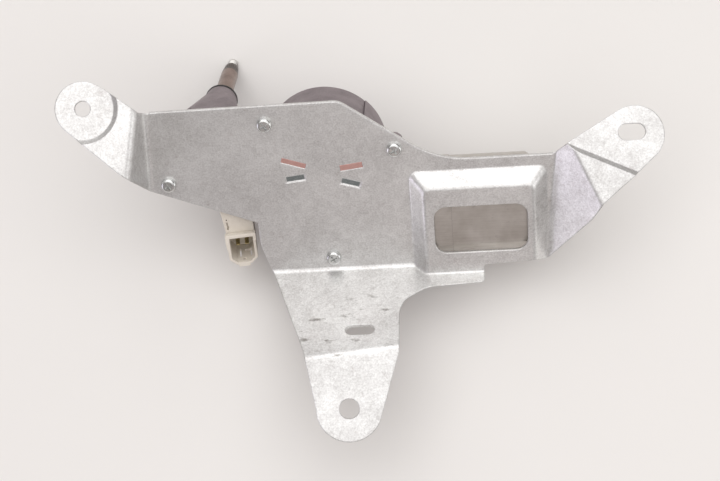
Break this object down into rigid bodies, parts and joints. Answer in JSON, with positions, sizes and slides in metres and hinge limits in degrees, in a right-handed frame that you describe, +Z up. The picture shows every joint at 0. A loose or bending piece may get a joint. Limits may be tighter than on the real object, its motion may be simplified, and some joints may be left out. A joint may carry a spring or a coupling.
{
  "type": "wiper_motor",
  "caption": "Tailgate wiper motor: worm gear drive with oscillating spindle and plug socket under a three-legged pressed steel bracket",
  "frame": {"origin": "on the bench, under the middle of the whole unit's box", "axes": "+Z up with the unit lying as pictured, on the spindle tip and the motor can, bracket uppermost; +X along the motor from the spindle side to the slotted ear; +Y towards the spindle tip, -Y towards the foot of the leg"},
  "size_m": [0.3119, 0.2262, 0.1023],
  "materials": {
    "zinc_plated_sheet": "satin spangled zinc",
    "die_cast_aluminium": "as cast",
    "zinc_plated_steel": "bright zinc",
    "gasket_rubber": "matte",
    "turned_steel": "turned",
    "sintered_bronze": "oil-filled",
    "acetal_white": "moulded",
    "can_steel": "drawn, zinc",
    "ferrite": "matte",
    "copper": "enamelled wire",
    "lamination_steel": "stamped",
    "carbon": "pressed carbon",
    "card_plastic": "moulded",
    "ivory_plastic": "moulded",
    "spring_steel": "bright"
  },
  "bodies": {
    "housing": {"mounting_bracket": "zinc_plated_sheet", "cover_gasket": "gasket_rubber", "gear_case": "die_cast_aluminium", "cover_screws": "zinc_plated_steel", "wheel_axle": "turned_steel", "wheel_washer": "spring_steel", "sleeve_bushes": "sintered_bronze", "shaft_seal": "gasket_rubber", "thrust_washer": "spring_steel", "sector_pin": "turned_steel", "armature_bushes": "sintered_bronze", "rear_bush": "sintered_bronze", "thrust_ball": "turned_steel", "thrust_screw": "zinc_plated_steel", "motor_can": "can_steel", "can_screws": "zinc_plated_steel", "magnets": "ferrite", "brush_card": "card_plastic", "brushes": "carbon", "brush_springs": "spring_steel", "connector_shell": "ivory_plastic", "connector_terminals": "sintered_bronze"},
    "output": {"output_shaft": "turned_steel", "output_pinion": "turned_steel", "shaft_clip": "spring_steel"},
    "sector": {"sector_gear": "turned_steel", "rod_pin": "turned_steel"},
    "rod": {"connecting_rod": "lamination_steel"},
    "wheel": {"worm_wheel": "acetal_white", "crank_pin": "turned_steel", "park_disc": "sintered_bronze"},
    "armature": {"armature_shaft": "turned_steel", "armature_core": "lamination_steel", "armature_windings": "copper", "commutator": "copper"}
  },
  "joints": [
    {"name": "output_turn", "type": "hinge", "parent": "housing", "child": "output", "pos_m": [-0.07875, 0.06086, 0.0647], "axis": [0, -0.6225, 0.7826], "range_deg": [0, 108]},
    {"name": "wheel_turn", "type": "hinge", "parent": "housing", "child": "wheel", "pos_m": [-0.02275, 0.04137, 0.04792], "axis": [0, -0.6225, 0.7826], "continuous": true},
    {"name": "armature_spin", "type": "hinge", "parent": "housing", "child": "armature", "pos_m": [0.01725, 0.01515, 0.02706], "axis": [1, 0, 0], "continuous": true},
    {"name": "sector_turn", "type": "hinge", "parent": "housing", "child": "sector", "pos_m": [-0.06008, 0.03768, 0.06031], "axis": [0, -0.6225, 0.7826], "range_deg": [-36, 0]},
    {"name": "rod_swing", "type": "hinge", "parent": "sector", "child": "rod", "pos_m": [-0.04808, 0.02765, 0.04723], "axis": [0, -0.6225, 0.7826], "range_deg": [0, 36]}
  ],
  "couplings": [
    {"joint": "armature_spin", "follows": "wheel_turn", "ratio": -55},
    {"joint": "sector_turn", "follows": "output_turn", "ratio": -0.33333},
    {"joint": "rod_swing", "follows": "output_turn", "ratio": 0.33333}
  ]
}
